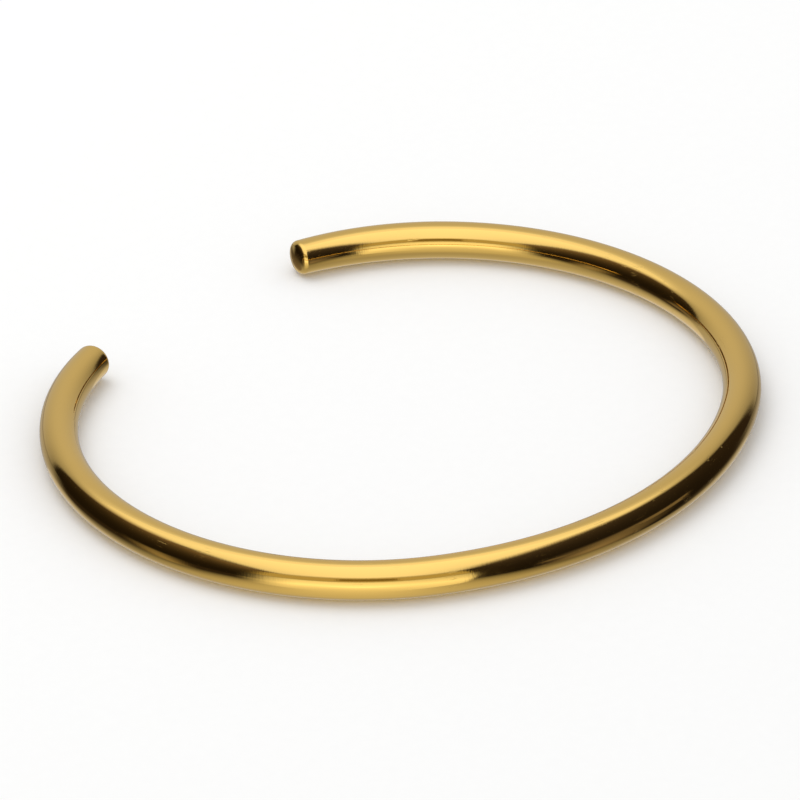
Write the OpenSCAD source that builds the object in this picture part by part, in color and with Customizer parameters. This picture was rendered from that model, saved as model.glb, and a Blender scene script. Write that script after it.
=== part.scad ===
// Open bangle: one round wire bent to an oval, left open between two domed tips.
// It lies flat on its side, the long way of the oval along X and the mouth towards +Y.
// The origin is on the resting surface, under the middle of the outline.
// All sizes are in millimetres.

/* [Ring] */
// Thickness of the round wire
wire_d = 3.4; // [2.8:0.1:4]
// Inside width of the oval, from side to side
inside_w = 60; // [57:0.5:66]
// Inside reach from the widest line to the middle of the back
back_reach = 26.3; // [25.5:0.1:27.5]
// Inside bend radius of the two sides
side_r = 24.7; // [23:0.1:25.2]

/* [Tips] */
// Clear opening between the two tips
mouth = 25; // [18:0.2:32]
// Thickness of the wire at a tip, as a share of the wire's own
tip_share = 0.93; // [0.8:0.01:0.98]
// Length over which the wire thins towards a tip
taper_l = 13; // [6:0.5:20]
// Radius of the dome that closes a tip, as a share of the tip's own radius
dome_share = 2.3; // [1.5:0.05:3]
// Radius of the softened edge round a dome
edge_r = 0.6; // [0.1:0.05:0.8]

/* [Hidden] */
$fn = 96;
gold = [0.83, 0.66, 0.24];

wire_r = wire_d / 2;
tip_r = wire_r * tip_share;
dome_r = tip_r * dome_share;

// The wire's middle line is three arcs that run into each other without a kink:
// a wide one round the back, about [0, back_y], and one round each side, about [side_x, 0].
side_x = inside_w / 2 - side_r;
side_bend = side_r + wire_r;
back_mid = back_reach + wire_r;
back_bend = (side_x * side_x + back_mid * back_mid - side_bend * side_bend) / (2 * (back_mid - side_bend));
back_y = back_bend - back_mid;
// Half the angle that the back arc spans
join_a = atan2(side_x, back_y);

// How far the centre of a dome lies behind the place where the softened edge begins
dome_set = sqrt(pow(dome_r - edge_r, 2) - pow(tip_r - edge_r, 2));
// Half the angle that the dome spans, out to the softened edge
dome_a = atan2(tip_r - edge_r, dome_set);
// Angle on the side arc at which the tip begins, so that the domes stand apart by the mouth
tip_a = acos((mouth / 2 + dome_r - side_x) / norm([side_bend, dome_set])) + atan2(dome_set, side_bend);

// Every length of wire starts inside a slightly thicker one, so that the pieces grow into one solid
seat_l = 0.6;
seat_step = 0.006;
seat_a = seat_l / side_bend * 180 / PI;
side_wire_r = wire_r - seat_step;

// Towards a tip the wire thins in even steps of about a hundredth of a millimetre, slowly at first
taper_steps = 12;
taper_a = taper_l / side_bend * 180 / PI;
function step_r(i) = side_wire_r - (side_wire_r - tip_r) * i / taper_steps;
function step_a(i) = tip_a - taper_a * (1 - sqrt((i + 0.5) / taper_steps));
// Length of straight wire behind a tip, inside the last step
tip_root = taper_l * (1 - sqrt(1 - 0.5 / taper_steps)) + 0.2;

// The outline reaches from the back to the softened edges of the tips
front_y = (side_bend + tip_r - edge_r) * sin(tip_a) + edge_r;
rear_y = -back_mid - wire_r;
middle_y = (front_y + rear_y) / 2;

// Wire of radius r along an arc about the origin, from angle a to angle b
module bent_wire(bend, r, a, b) {
    rotate([0, 0, a])
        rotate_extrude(angle = b - a)
            translate([bend, 0])
                circle(r = r);
}

// Half the section of a tip, along its own axis: straight wall, softened edge and dome
module tip_section() {
    wedge = 2 * dome_r;
    translate([0, -tip_root])
        square([tip_r, tip_root]);
    translate([tip_r - edge_r, 0])
        circle(r = edge_r);
    intersection() {
        translate([0, -dome_set])
            circle(r = dome_r);
        translate([0, -dome_set])
            polygon([[0, 0], [wedge * sin(dome_a), wedge * cos(dome_a)], [0, wedge]]);
    }
}

module tip() {
    rotate([0, 0, tip_a])
        translate([side_bend, 0, 0])
            rotate([-90, 0, 0])
                rotate_extrude()
                    tip_section();
}

// One side of the bangle, from the back arc round to its tip
module side() {
    translate([side_x, 0, 0]) {
        bent_wire(side_bend, side_wire_r, join_a - 90 - seat_a, step_a(0));
        for (i = [1 : taper_steps - 1])
            bent_wire(side_bend, step_r(i), tip_a - taper_a, step_a(i));
        tip();
    }
}

module bangle() {
    color(gold)
        translate([0, -middle_y, wire_r])
            union() {
                translate([0, back_y, 0])
                    bent_wire(back_bend, wire_r, -90 - join_a, join_a - 90);
                side();
                mirror([1, 0, 0])
                    side();
            }
}

bangle();
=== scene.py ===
import math

import bmesh
import bpy
from mathutils import Matrix, Vector


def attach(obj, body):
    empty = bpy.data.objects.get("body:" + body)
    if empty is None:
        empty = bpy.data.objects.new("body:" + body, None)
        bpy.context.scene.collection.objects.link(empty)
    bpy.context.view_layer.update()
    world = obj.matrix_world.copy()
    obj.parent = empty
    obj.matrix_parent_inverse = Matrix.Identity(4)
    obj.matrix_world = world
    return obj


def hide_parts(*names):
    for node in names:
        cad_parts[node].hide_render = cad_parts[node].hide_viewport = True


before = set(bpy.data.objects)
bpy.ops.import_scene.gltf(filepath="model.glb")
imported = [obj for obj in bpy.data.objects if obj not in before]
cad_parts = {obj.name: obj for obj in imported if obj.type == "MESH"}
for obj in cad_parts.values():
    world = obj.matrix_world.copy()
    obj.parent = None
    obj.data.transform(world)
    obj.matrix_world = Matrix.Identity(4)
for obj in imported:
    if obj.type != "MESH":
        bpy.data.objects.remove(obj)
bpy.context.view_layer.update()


# The bangle's middle line. The maker bends one length of round wire cold round an oval former:
# a wide curve for the back, and a tighter one each side that runs on to the tip without a kink.
# The tips are finished last, each turned against a cup file to a low dome with a softened edge.
MM = 0.001
wire_r = 1.7 * MM
# The oval inside: its width, its reach from the widest line to the back, and the radius of its sides
inside_w = 60 * MM
back_reach = 26.3 * MM
side_r = 24.7 * MM
# The tips: the clear way between them, their share of the wire's thickness, the length over which
# the wire thins, the dome's radius as a share of the tip's, and the radius of the softened edge
mouth = 25 * MM
tip_share = 0.93
taper_l = 13 * MM
dome_share = 2.3
edge_r = 0.6 * MM
tip_r = wire_r * tip_share
dome_r = tip_r * dome_share

# A side's arc has its centre at side_x, 0 and the back's at 0, back_y; they meet at the angle join_a
side_x = inside_w / 2 - side_r
side_bend = side_r + wire_r
back_mid = back_reach + wire_r
back_bend = (side_x ** 2 + back_mid ** 2 - side_bend ** 2) / (2 * (back_mid - side_bend))
back_y = back_bend - back_mid
join_a = math.atan2(side_x, back_y) - math.pi / 2

# The centre of a dome: how far behind the start of the softened edge, and how far aside of the
# bend's centre
dome_set = math.sqrt((dome_r - edge_r) ** 2 - (tip_r - edge_r) ** 2)
dome_aside = mouth / 2 + dome_r - side_x
# The angle of a side's bend at which the softened edge begins, and the middle of the whole outline
tip_a = math.acos(dome_aside / math.hypot(side_bend, dome_set)) + math.atan2(dome_set, side_bend)
front_y = (side_bend + tip_r - edge_r) * math.sin(tip_a) + edge_r
middle_y = (front_y - back_mid - wire_r) / 2

# The drawn wire stays a few thousandths of a millimetre inside the solid
wire_inset = 0.008 * MM
tip_inset = 0.001 * MM
drawn_wire_r = wire_r - wire_inset
drawn_tip_r = tip_r - tip_inset
# The height of a drawn dome over the start of its edge, and half the angle that the dome spans
set_back = math.sqrt((dome_r - edge_r) ** 2 - (drawn_tip_r - edge_r) ** 2)
dome_l = dome_r - set_back
dome_a = math.atan2(drawn_tip_r - edge_r, set_back)

dome_rings = 22
edge_rings = 15
step = 0.3 * MM


def stations_from_apex():
    """Distances from the top of a dome at which the turned tip gets a ring: close over dome and edge."""
    dome = [dome_r * (1 - math.cos(dome_a * i / dome_rings)) for i in range(dome_rings)]
    edge_turns = [(1 - i / (edge_rings - 1)) * (math.pi / 2 - dome_a) for i in range(edge_rings)]
    return dome + [dome_l - edge_r * math.sin(turn) for turn in edge_turns]


def arc(x, y, bend, start_a, end_a):
    """Points of an arc about x, y, without its first one."""
    count = round(bend * abs(end_a - start_a) / step)
    angles = [start_a + (end_a - start_a) * (i + 1) / count for i in range(count)]
    return [Vector((x + bend * math.cos(a), y + bend * math.sin(a), 0)) for a in angles]


def half_middle_line():
    """Points from the right-hand apex round to the middle of the back, on the wire's middle line."""
    out = Vector((math.cos(tip_a), math.sin(tip_a), 0))
    along = Vector((-out.y, out.x, 0))
    start = Vector((side_x, -middle_y, 0)) + side_bend * out
    tip = [start + along * (dome_l - s) for s in stations_from_apex()]
    side = arc(side_x, -middle_y, side_bend, tip_a, join_a)
    return tip + side + arc(0, back_y - middle_y, back_bend, join_a, -math.pi / 2)


half = half_middle_line()
other_half = [Vector((-p.x, p.y, 0)) for p in reversed(half[:-1])]
line = [(p.x, p.y, wire_r) for p in half + other_half]
line_mesh = bpy.data.meshes.new("bent_wire")
line_mesh.from_pydata(line, [(i, i + 1) for i in range(len(line) - 1)], [])
bangle = bpy.data.objects.new("bent_wire", line_mesh)
bpy.context.scene.collection.objects.link(bangle)


# The gold. Yellow gold wire, drawn, then buffed to a mirror on a wheel that runs across the wire.
# Close to, the buffing leaves hair-fine rings round it, and wear adds stray hairlines and a few pinpricks.
gold_colour = (1.0, 0.66, 0.19, 1)
gold = bpy.data.materials.new("polished_gold")
gold.use_nodes = True
gold_tree = gold.node_tree
gold_tree.nodes.clear()
nodes_a_row = 10
node_w, node_h = 200, 300


def node(tree, kind, **settings):
    """A new node with those settings; the nodes of a tree stand in rows, in the order they are made."""
    row, place = divmod(len(tree.nodes), nodes_a_row)
    made = tree.nodes.new(kind)
    made.location = (place * node_w, -row * node_h)
    for name, value in settings.items():
        setattr(made, name, value)
    return made


def maths(tree, how, a, b=None, clamp=False):
    """A Math node; a and b are sockets or numbers."""
    made = node(tree, "ShaderNodeMath", operation=how, use_clamp=clamp)
    for place, value in enumerate((a, b)):
        if isinstance(value, (int, float)):
            made.inputs[place].default_value = value
        elif value is not None:
            tree.links.new(value, made.inputs[place])
    return made.outputs[0]


def smooth_range(tree, value, lo, hi, to_lo, to_hi):
    """A Map Range node that eases from to_lo, where the value is lo, to to_hi, where it is hi."""
    made = node(tree, "ShaderNodeMapRange", interpolation_type="SMOOTHSTEP")
    tree.links.new(value, made.inputs["Value"])
    for name, end in (("From Min", lo), ("From Max", hi), ("To Min", to_lo), ("To Max", to_hi)):
        made.inputs[name].default_value = end
    return made.outputs["Result"]


# wire_space is the wire laid out straight: X and Y across it, Z along it, in metres
wire_space = node(gold_tree, "ShaderNodeAttribute", attribute_name="wire_space").outputs["Vector"]


def gold_noise(scale, detail, stretch=(1, 1, 1), kind="ShaderNodeTexNoise", **settings):
    """A noise on the straightened wire; scale is in features per metre, stretch per axis."""
    stretched = node(gold_tree, "ShaderNodeMapping")
    stretched.inputs["Scale"].default_value = stretch
    gold_tree.links.new(wire_space, stretched.inputs["Vector"])
    noise = node(gold_tree, kind, **settings)
    noise.inputs["Scale"].default_value = scale
    noise.inputs["Detail"].default_value = detail
    gold_tree.links.new(stretched.outputs["Vector"], noise.inputs["Vector"])
    return noise


# The hand's faint waviness, the rings, the pinpricks' cells, the hairlines' streaks and the wear's cloud
hand = gold_noise(scale=160, detail=1.5).outputs["Fac"]
rings = gold_noise(scale=900, detail=3, stretch=(2.5, 2.5, 8)).outputs["Fac"]
cells = gold_noise(scale=1100, detail=0, kind="ShaderNodeTexVoronoi", feature="F1")
streaks = gold_noise(scale=260, detail=2, stretch=(9, 9, 0.7)).outputs["Fac"]
cloud = gold_noise(scale=500, detail=4).outputs["Fac"]

# A pinprick lies in the middle of one cell in twenty-five; its radii are shares of a cell
without_pin = 0.96
pin_floor_r, pin_rim_r = 0.03, 0.13
cell_draw = node(gold_tree, "ShaderNodeSeparateColor")
gold_tree.links.new(cells.outputs["Color"], cell_draw.inputs["Color"])
pin_here = maths(gold_tree, "GREATER_THAN", cell_draw.outputs["Red"], without_pin)
pin_dot = smooth_range(gold_tree, cells.outputs["Distance"], pin_floor_r, pin_rim_r, 1, 0)
pin = maths(gold_tree, "MULTIPLY", pin_dot, pin_here)

# A hairline runs where the streaks cross their middle value, and only in the thick of the cloud
streak_middle, hair_reach = 0.5, 0.02
thin_cloud, thick_cloud = 0.56, 0.68
off_middle = maths(gold_tree, "SUBTRACT", streaks, streak_middle)
off_middle = maths(gold_tree, "ABSOLUTE", off_middle)
hair = smooth_range(gold_tree, off_middle, 0, hair_reach, 1, 0)
hair_here = smooth_range(gold_tree, cloud, thin_cloud, thick_cloud, 0, 1)
hairline = maths(gold_tree, "MULTIPLY", hair, hair_here)

# The relief, with the pinpricks and hairlines cut into it
relief = 0.02 * MM
ring_share, pin_share, hair_share = 0.1, 0.4, 0.25
height = maths(gold_tree, "ADD", hand, maths(gold_tree, "MULTIPLY", rings, ring_share))
height = maths(gold_tree, "SUBTRACT", height, maths(gold_tree, "MULTIPLY", pin, pin_share))
height = maths(gold_tree, "SUBTRACT", height, maths(gold_tree, "MULTIPLY", hairline, hair_share))
bump = node(gold_tree, "ShaderNodeBump")
bump.inputs["Strength"].default_value = 1.0
bump.inputs["Distance"].default_value = relief
gold_tree.links.new(height, bump.inputs["Height"])

# How dull the polish is: a little duller where the cloud is thick, and more so in the marks
no_cloud, full_cloud = 0.3, 0.75
least_dull, most_dull, hair_dull, pin_dull = 0.06, 0.11, 0.15, 0.35
dull = smooth_range(gold_tree, cloud, no_cloud, full_cloud, least_dull, most_dull)
dull = maths(gold_tree, "ADD", dull, maths(gold_tree, "MULTIPLY", hairline, hair_dull))
dull = maths(gold_tree, "ADD", dull, maths(gold_tree, "MULTIPLY", pin, pin_dull))

skin = node(gold_tree, "ShaderNodeBsdfPrincipled")
skin.inputs["Base Color"].default_value = gold_colour
skin.inputs["Metallic"].default_value = 1.0
gold_tree.links.new(dull, skin.inputs["Roughness"])
gold_tree.links.new(bump.outputs["Normal"], skin.inputs["Normal"])
gold_out = node(gold_tree, "ShaderNodeOutputMaterial")
gold_tree.links.new(skin.outputs["BSDF"], gold_out.inputs["Surface"])


# Drawing and turning. Geometry Nodes run the round section along the middle line; the wire thins
# slowly towards each tip, and there the turned profile rounds the edge and closes it in a low dome.
draw = bpy.data.node_groups.new("drawn_wire", "GeometryNodeTree")
draw.is_modifier = True
draw.interface.new_socket("Geometry", in_out="INPUT", socket_type="NodeSocketGeometry")
draw.interface.new_socket("Geometry", in_out="OUTPUT", socket_type="NodeSocketGeometry")
sizes = {
    "Wire radius": drawn_wire_r,
    "Tip radius": drawn_tip_r,
    "Taper length": taper_l,
    "Edge radius": edge_r,
    "Dome radius": dome_r,
}
facets_around = 96


def inlet_socket(name, kind):
    """Adds an input of that name to the drawing and gives back its identifier."""
    return draw.interface.new_socket(name, in_out="INPUT", socket_type=kind).identifier


size_id = {name: inlet_socket(name, "NodeSocketFloat") for name in sizes}
around_id = inlet_socket("Facets around", "NodeSocketInt")
finish_id = inlet_socket("Finish", "NodeSocketMaterial")

inlet = node(draw, "NodeGroupInput")
wire_in, tip_in, taper_in, edge_in, dome_in = (inlet.outputs[name] for name in sizes)
to_curve = node(draw, "GeometryNodeMeshToCurve")
draw.links.new(inlet.outputs["Geometry"], to_curve.inputs["Mesh"])
flat = node(draw, "GeometryNodeSetCurveNormal", mode="Z_UP")
draw.links.new(to_curve.outputs["Curve"], flat.inputs["Curve"])

# How far each ring of the wire is from the nearer apex, along the middle line
here = node(draw, "GeometryNodeSplineParameter").outputs["Length"]
whole = node(draw, "GeometryNodeSplineLength").outputs["Length"]
from_far_apex = maths(draw, "SUBTRACT", whole, here)
from_apex = maths(draw, "MINIMUM", here, from_far_apex)


def other_leg(longest, leg):
    """The third side of a right-angled triangle, from its longest side and one leg."""
    longest_square = maths(draw, "MULTIPLY", longest, longest)
    leg_square = maths(draw, "MULTIPLY", leg, leg)
    rest = maths(draw, "SUBTRACT", longest_square, leg_square)
    return maths(draw, "SQRT", maths(draw, "MAXIMUM", rest, 0.0))


# rise is the way past the place where the softened edge begins; behind that place it is below zero
flat_r = maths(draw, "SUBTRACT", tip_in, edge_in)
inner_r = maths(draw, "SUBTRACT", dome_in, edge_in)
set_back_here = other_leg(inner_r, flat_r)
tall = maths(draw, "SUBTRACT", dome_in, set_back_here)
rise = maths(draw, "SUBTRACT", tall, from_apex)

# Along the taper the wire loses width slowly at first, with the square of the way gone
taper_gone = maths(draw, "DIVIDE", rise, taper_in)
taper_gone = maths(draw, "ADD", taper_gone, 1.0, clamp=True)
thinning = maths(draw, "MULTIPLY", taper_gone, taper_gone)
thinning = maths(draw, "MULTIPLY", thinning, maths(draw, "SUBTRACT", wire_in, tip_in))
wire_here = maths(draw, "SUBTRACT", wire_in, thinning)

# Past the taper come the softened edge and, from edge_top on, the dome
edge_here = maths(draw, "ADD", flat_r, other_leg(edge_in, rise))
dome_here = other_leg(dome_in, maths(draw, "ADD", rise, set_back_here))
edge_top = maths(draw, "DIVIDE", maths(draw, "MULTIPLY", edge_in, set_back_here), inner_r)


def choose(test, yes, no):
    """A Switch node: yes where the test holds, otherwise no."""
    switch = node(draw, "GeometryNodeSwitch", input_type="FLOAT")
    draw.links.new(test, switch.inputs["Switch"])
    draw.links.new(yes, switch.inputs["True"])
    draw.links.new(no, switch.inputs["False"])
    return switch.outputs["Output"]


past_edge = maths(draw, "GREATER_THAN", rise, edge_top)
past_wire = maths(draw, "GREATER_THAN", rise, 0.0)
turned_here = choose(past_edge, dome_here, edge_here)
radius = choose(past_wire, turned_here, wire_here)


def keep(name, kind, geometry, value):
    """Stores a value on each point of the geometry, under that name, and gives back the geometry."""
    store = node(draw, "GeometryNodeStoreNamedAttribute", data_type=kind, domain="POINT")
    store.inputs["Name"].default_value = name
    draw.links.new(geometry, store.inputs["Geometry"])
    draw.links.new(value, store.inputs["Value"])
    return store.outputs["Geometry"]


def kept(name, kind):
    """Reads a value that was stored on the points under that name."""
    read = node(draw, "GeometryNodeInputNamedAttribute", data_type=kind)
    read.inputs["Name"].default_value = name
    return read.outputs["Attribute"]


# The section is a circle of radius 1, which the sweep scales to the radius at each ring
section = node(draw, "GeometryNodeCurvePrimitiveCircle", mode="RADIUS")
section.inputs["Radius"].default_value = 1.0
draw.links.new(inlet.outputs["Facets around"], section.inputs["Resolution"])
on_section = node(draw, "GeometryNodeInputPosition").outputs["Position"]
sweep = node(draw, "GeometryNodeCurveToMesh")
draw.links.new(keep("along", "FLOAT", flat.outputs["Curve"], here), sweep.inputs["Curve"])
profile = keep("section", "FLOAT_VECTOR", section.outputs["Curve"], on_section)
draw.links.new(profile, sweep.inputs["Profile Curve"])
draw.links.new(radius, sweep.inputs["Scale"])

# The wire laid out straight, for the gold: the section's own X and Y at full size, and the way along
across = node(draw, "ShaderNodeVectorMath", operation="SCALE")
draw.links.new(kept("section", "FLOAT_VECTOR"), across.inputs["Vector"])
draw.links.new(wire_in, across.inputs["Scale"])
across_parts = node(draw, "ShaderNodeSeparateXYZ")
draw.links.new(across.outputs["Vector"], across_parts.inputs["Vector"])
straight = node(draw, "ShaderNodeCombineXYZ")
draw.links.new(across_parts.outputs["X"], straight.inputs["X"])
draw.links.new(across_parts.outputs["Y"], straight.inputs["Y"])
draw.links.new(kept("along", "FLOAT"), straight.inputs["Z"])
laid_out = keep("wire_space", "FLOAT_VECTOR", sweep.outputs["Mesh"], straight.outputs["Vector"])

# The first and last rings are drawn in to a point at each apex, so their points are merged
merge_reach = 0.0005 * MM
close = node(draw, "GeometryNodeMergeByDistance")
close.inputs["Distance"].default_value = merge_reach
draw.links.new(laid_out, close.inputs["Geometry"])
smooth = node(draw, "GeometryNodeSetShadeSmooth")
draw.links.new(close.outputs["Geometry"], smooth.inputs["Geometry"])
solid = node(draw, "GeometryNodeRealizeInstances")
draw.links.new(smooth.outputs["Geometry"], solid.inputs["Geometry"])
coat = node(draw, "GeometryNodeSetMaterial")
draw.links.new(solid.outputs["Geometry"], coat.inputs["Geometry"])
draw.links.new(inlet.outputs["Finish"], coat.inputs["Material"])
outlet = node(draw, "NodeGroupOutput")
draw.links.new(coat.outputs["Geometry"], outlet.inputs["Geometry"])

drawing = bangle.modifiers.new("drawn_wire", "NODES")
drawing.node_group = draw
for name, size in sizes.items():
    drawing[size_id[name]] = size
drawing[around_id] = facets_around
drawing[finish_id] = gold
bpy.context.view_layer.update()
evaluated = bangle.evaluated_get(bpy.context.evaluated_depsgraph_get())
drawn = bpy.data.meshes.new_from_object(evaluated)
bangle.modifiers.clear()
bangle.data = drawn
for name in ("along", "section"):
    if name in drawn.attributes:
        drawn.attributes.remove(drawn.attributes[name])
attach(bangle, "root")
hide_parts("bangle")


# The table top. The bangle rests on it by its own weight; it is a plain sheet of board,
# painted a faintly warm white, with a trace of grain.
table_reach = 1.5
paint_low, paint_high = (0.93, 0.93, 0.925, 1), (0.95, 0.95, 0.945, 1)
grain_scale, grain_detail = 900, 3
table_mesh = bpy.data.meshes.new("table")
square = ((0, 0), (1, 0), (1, 1), (0, 1))
table_corners = [((2 * i - 1) * table_reach, (2 * j - 1) * table_reach, 0) for i, j in square]
table_mesh.from_pydata(table_corners, [], [(0, 1, 2, 3)])
table = bpy.data.objects.new("table", table_mesh)
bpy.context.scene.collection.objects.link(table)
paint = bpy.data.materials.new("pale_table")
paint.use_nodes = True
paint_tree = paint.node_tree
paint_tree.nodes.clear()
spot = node(paint_tree, "ShaderNodeTexCoord")
grain = node(paint_tree, "ShaderNodeTexNoise")
grain.inputs["Scale"].default_value = grain_scale
grain.inputs["Detail"].default_value = grain_detail
paint_tree.links.new(spot.outputs["Object"], grain.inputs["Vector"])
tone = node(paint_tree, "ShaderNodeMix", data_type="RGBA")
paint_tree.links.new(grain.outputs["Fac"], tone.inputs["Factor"])
tone.inputs["A"].default_value = paint_low
tone.inputs["B"].default_value = paint_high
top = node(paint_tree, "ShaderNodeBsdfDiffuse")
paint_tree.links.new(tone.outputs["Result"], top.inputs["Color"])
paint_out = node(paint_tree, "ShaderNodeOutputMaterial")
paint_tree.links.new(top.outputs["BSDF"], paint_out.inputs["Surface"])
table_mesh.materials.append(paint)
table.visible_glossy = False


# The light. The bangle lies in a tent of glowing paper, which only the gold mirrors: a sheet overhead
# that curves down into one behind, one behind the camera, pale sheets below, as if under a glass top,
# and dark walls left and right, which give the gold its long dark bands.
shot_turn = math.radians(46.85)
to_row = Matrix.Rotation(-shot_turn, 4, "Z")
# For a sheet square to each axis: that axis, and the two that wide and deep run along
plane_axes = {"x": (0, 1, 2), "y": (1, 0, 2), "z": (2, 0, 1)}


def glow_only(name):
    """An empty material for something that glows in the gold and throws no light of its own."""
    paper = bpy.data.materials.new(name)
    paper.use_nodes = True
    paper.cycles.emission_sampling = "NONE"
    paper.node_tree.nodes.clear()
    return paper


def mirrored_only(name, mesh):
    """Puts a mesh into the scene as scenery that nothing but the gold sees."""
    thing = bpy.data.objects.new(name, mesh)
    bpy.context.scene.collection.objects.link(thing)
    thing.visible_camera = False
    thing.visible_diffuse = False
    thing.visible_shadow = False
    thing.visible_transmission = False


def tent_sheet(name, axis, at, wide, deep, glow, fade,
               tint=(1, 1, 1), lean=0.0, bow=0.0, rise=1.0, tilt=0.0):
    """A flat sheet square to an axis, that only the gold sees.

    Its place is in millimetres from under the middle of the bangle: x to the camera's right, y away
    from the camera, z up. wide and deep are its ends along the other two axes, and fade is how far it
    thins out inside each end: both ends of wide, then both of deep. lean makes it brighter towards the
    far end of deep, bow dimmer towards the ends of wide, and rise is how many times brighter it is at
    its top edge. tilt turns it about x, in degrees."""
    normal, across, up = plane_axes[axis]
    tilted = to_row @ Matrix.Rotation(math.radians(-tilt), 4, "X")
    corners = []
    for i, j in square:
        corner = Vector((0, 0, 0))
        corner[normal], corner[across], corner[up] = at, wide[i], deep[j]
        corners.append(tilted @ corner * MM)
    mesh = bpy.data.meshes.new(name)
    mesh.from_pydata(corners, [], [(0, 1, 2, 3)])
    uv = mesh.uv_layers.new(name="sheet")
    for i, corner in enumerate(square):
        uv.data[i].uv = corner
    paper = glow_only(name)
    mesh.materials.append(paper)

    tree = paper.node_tree
    uv_map = node(tree, "ShaderNodeUVMap", uv_map="sheet")
    place = node(tree, "ShaderNodeSeparateXYZ")
    tree.links.new(uv_map.outputs["UV"], place.inputs["Vector"])
    x, y = place.outputs["X"], place.outputs["Y"]
    x_left, y_left = maths(tree, "SUBTRACT", 1.0, x), maths(tree, "SUBTRACT", 1.0, y)
    spans = (wide[1] - wide[0], wide[1] - wide[0], deep[1] - deep[0], deep[1] - deep[0])
    mask = None
    for from_end, thins_over, span in zip((x, x_left, y, y_left), fade, spans):
        share = smooth_range(tree, from_end, 0.0, thins_over / span, 0.0, 1.0)
        mask = share if mask is None else maths(tree, "MULTIPLY", mask, share)

    # aside and along run from -1 to 1 over wide and deep; the rise keeps to the top, with y cubed
    aside = maths(tree, "SUBTRACT", maths(tree, "MULTIPLY", x, 2.0), 1.0)
    along = maths(tree, "SUBTRACT", maths(tree, "MULTIPLY", y, 2.0), 1.0)
    dimmed = maths(tree, "MULTIPLY", maths(tree, "MULTIPLY", aside, aside), bow)
    leaned = maths(tree, "MULTIPLY", along, lean)
    risen = maths(tree, "MULTIPLY", maths(tree, "POWER", y, 3.0), rise - 1)
    level = maths(tree, "ADD", maths(tree, "SUBTRACT", leaned, dimmed), risen)
    level = maths(tree, "MAXIMUM", maths(tree, "ADD", level, 1.0), 0.0)
    lamp = node(tree, "ShaderNodeEmission")
    lamp.inputs["Color"].default_value = (*tint, 1)
    tree.links.new(maths(tree, "MULTIPLY", level, glow), lamp.inputs["Strength"])
    clear = node(tree, "ShaderNodeBsdfTransparent")
    blend = node(tree, "ShaderNodeMixShader")
    tree.links.new(mask, blend.inputs[0])
    tree.links.new(clear.outputs["BSDF"], blend.inputs[1])
    tree.links.new(lamp.outputs["Emission"], blend.inputs[2])
    sheet_out = node(tree, "ShaderNodeOutputMaterial")
    tree.links.new(blend.outputs["Shader"], sheet_out.inputs["Surface"])
    mirrored_only(name, mesh)


# Where these numbers come from: a program fitted the first thirteen sheets, with the gold's and the
# room's colours, to the photo. They were rounded, and some changed; the last three were not fitted.

# Above and behind: the sheet overhead, the slope down from it and the back wall
tent_sheet("overhead", "z", at=290, wide=(-250, 260), deep=(-400, 200), glow=1.1,
           fade=(80, 80, 100, 100), lean=0.1, bow=0.4)
tent_sheet("cove", "z", at=270, wide=(-350, 250), deep=(-300, 50), glow=1.0,
           fade=(200, 130, 10, 10), lean=-0.2, tilt=45)
tent_sheet("back", "y", at=150, wide=(-250, 190), deep=(-30, 280), glow=0.55,
           fade=(40, 40, 10, 160), lean=0.1, bow=0.6)

# Towards the camera: a warm white sheet, the slot over it for the camera, and the camera's dark front
warm_white, lamp_yellow, dull_yellow = (1, 0.98, 0.86), (1, 0.86, 0.46), (1, 0.76, 0.23)
tent_sheet("front", "y", at=-600, wide=(-550, 430), deep=(-500, 220), glow=1.4,
           fade=(350, 50, 10, 50), tint=warm_white, lean=-0.4, bow=0.3)
tent_sheet("slot", "y", at=-700, wide=(-600, 490), deep=(230, 600), glow=0.45,
           fade=(150, 30, 10, 10), tint=lamp_yellow)
tent_sheet("camera_front", "y", at=-640, wide=(-100, 150), deep=(260, 460), glow=0.2,
           fade=(20, 20, 30, 30), tint=dull_yellow)

# Left and right: dark walls, a little less dark towards the top
dark_rose, dark_amber = (1, 0.8, 0.8), (1, 0.75, 0.55)
tent_sheet("right", "x", at=110, wide=(-200, 80), deep=(-90, 220), glow=0.01,
           fade=(100, 80, 20, 100), tint=dark_rose, rise=12)
tent_sheet("left", "x", at=-320, wide=(-540, 220), deep=(-80, 400), glow=0.012,
           fade=(200, 10, 10, 10), tint=dark_amber, rise=15)

# Below: the pale sheets under the glass, front and back, the wall behind them and two small side pieces
cream, tan, pale_tan = (1, 0.97, 0.84), (1, 0.85, 0.6), (1, 0.85, 0.75)
tent_sheet("under", "z", at=-60, wide=(-150, 140), deep=(-500, 20), glow=1.1,
           fade=(130, 140, 50, 50), tint=cream, lean=-0.6, bow=0.9)
tent_sheet("under_back", "z", at=-90, wide=(-220, 260), deep=(-70, 500), glow=0.85,
           fade=(200, 300, 50, 10), lean=0.7)
tent_sheet("low_back", "y", at=130, wide=(-290, 250), deep=(-330, -20), glow=0.43,
           fade=(160, 220, 10, 10), bow=0.7)
tent_sheet("low_left", "x", at=-150, wide=(-110, -20), deep=(-110, -10), glow=0.3,
           fade=(60, 50, 20, 20), tint=tan, lean=-0.5)
tent_sheet("low_right", "x", at=90, wide=(-90, 0), deep=(-80, 10), glow=0.22,
           fade=(50, 50, 40, 20), tint=pale_tan, lean=-0.65)

# Low on the right: two narrow ledges that draw thin streaks along the dark band on that side
tent_sheet("right_ledge", "x", at=85, wide=(-50, -3), deep=(-14, 2), glow=0.16,
           fade=(30, 3, 3, 3), tint=pale_tan)
tent_sheet("front_ledge", "x", at=85, wide=(-86, -45), deep=(-30, -12), glow=0.12,
           fade=(8, 25, 4, 4), tint=pale_tan)

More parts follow.
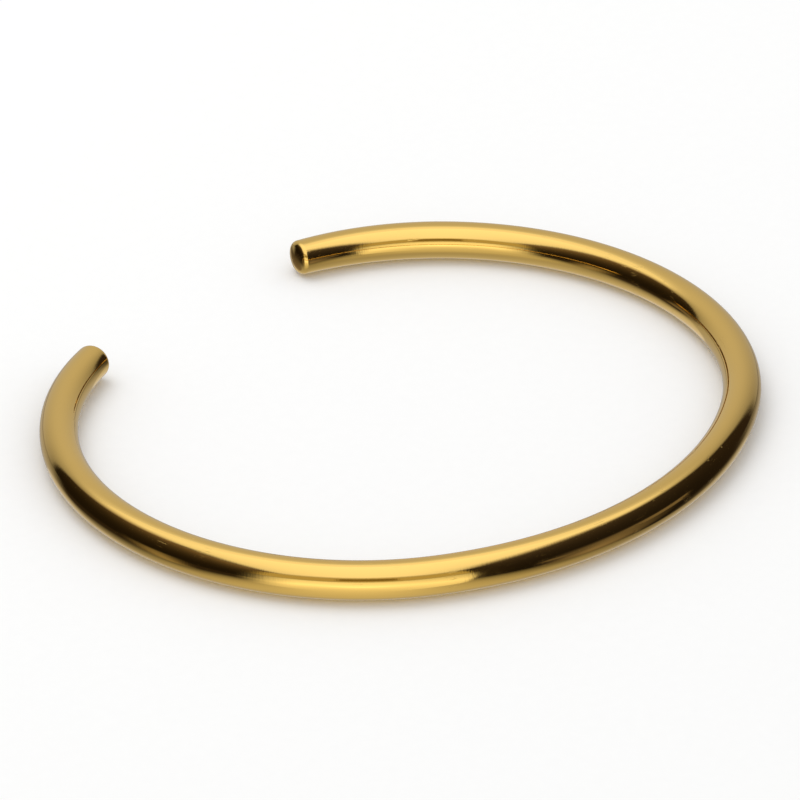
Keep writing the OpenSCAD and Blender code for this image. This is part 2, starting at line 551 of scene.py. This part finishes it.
# Beside the far tip: a small card that keeps its end face dark, more so towards the top
tent_sheet("tip_card", "x", at=-22, wide=(26, 44), deep=(-14, 0), glow=0.13,
           fade=(4, 4, 4, 4), tint=pale_tan, lean=-0.9)

# The dark of the room beyond the tent
room_w = 5
room_glow, room_tint = 0.025, (1, 0.75, 0.65, 1)
room_mesh = bpy.data.meshes.new("dark_room")
room_cube = bmesh.new()
bmesh.ops.create_cube(room_cube, size=room_w)
room_cube.to_mesh(room_mesh)
room_cube.free()
night = glow_only("dark_room")
room_mesh.materials.append(night)
glim = node(night.node_tree, "ShaderNodeEmission")
glim.inputs["Color"].default_value = room_tint
glim.inputs["Strength"].default_value = room_glow
night_out = node(night.node_tree, "ShaderNodeOutputMaterial")
night.node_tree.links.new(glim.outputs["Emission"], night_out.inputs["Surface"])
mirrored_only("dark_room", room_mesh)

# The daylight that falls on the table: even and soft, from all of the sky, with one broad lamp above
sky_strength = 0.85
sky = bpy.data.worlds.new("soft_sky")
sky.use_nodes = True
daylight = sky.node_tree.nodes["Background"]
daylight.inputs["Color"].default_value = (1.0, 1.0, 1.0, 1)
daylight.inputs["Strength"].default_value = sky_strength
sky.cycles_visibility.glossy = False
bpy.context.scene.world = sky
bank_w, bank_watts = 0.5, 1.1
bank_place = Vector((-0.2, 0.15, 0.6))
bank = bpy.data.lights.new("soft_bank", "AREA")
bank.shape = "RECTANGLE"
bank.size, bank.size_y = bank_w, bank_w
bank.energy = bank_watts
bank_lamp = bpy.data.objects.new("soft_bank", bank)
bpy.context.scene.collection.objects.link(bank_lamp)
bank_at = to_row @ bank_place
facing_bangle = (-bank_at).to_track_quat("-Z", "Y").to_matrix().to_4x4()
bank_lamp.matrix_world = Matrix.Translation(bank_at) @ facing_bangle
bank_lamp.visible_glossy = False
bank_lamp.visible_camera = False

# Colours are shown as they are, with no film look
bpy.context.scene.view_settings.view_transform = "Standard"
bpy.context.scene.view_settings.look = "None"


# The camera. It stands well back with a long lens, so that the far side looks nearly as thick as
# the near one, and looks down at a slant, with the mouth on the left of the picture. Its turn, rise,
# distance, lens and aim were fitted by a program to the ring's outline in the photo, then rounded.
shot_rise = math.radians(29.57)
stand_off = 668.8 * MM
film_w, lens_l = 36, 342.7
nearest_seen = 10 * MM
camera_data = bpy.data.cameras.new("camera")
camera_data.sensor_width = film_w
camera_data.lens = lens_l
camera_data.clip_start = nearest_seen
camera = bpy.data.objects.new("camera", camera_data)
bpy.context.scene.collection.objects.link(camera)
aim = Vector((-1.3, 0.4, 2.4)) * MM
stand = aim + stand_off * Vector((0, -math.cos(shot_rise), math.sin(shot_rise)))
aim, stand = to_row @ aim, to_row @ stand
camera_turn = (aim - stand).to_track_quat("-Z", "Y").to_matrix().to_4x4()
camera.matrix_world = Matrix.Translation(stand) @ camera_turn
bpy.context.scene.camera = camera
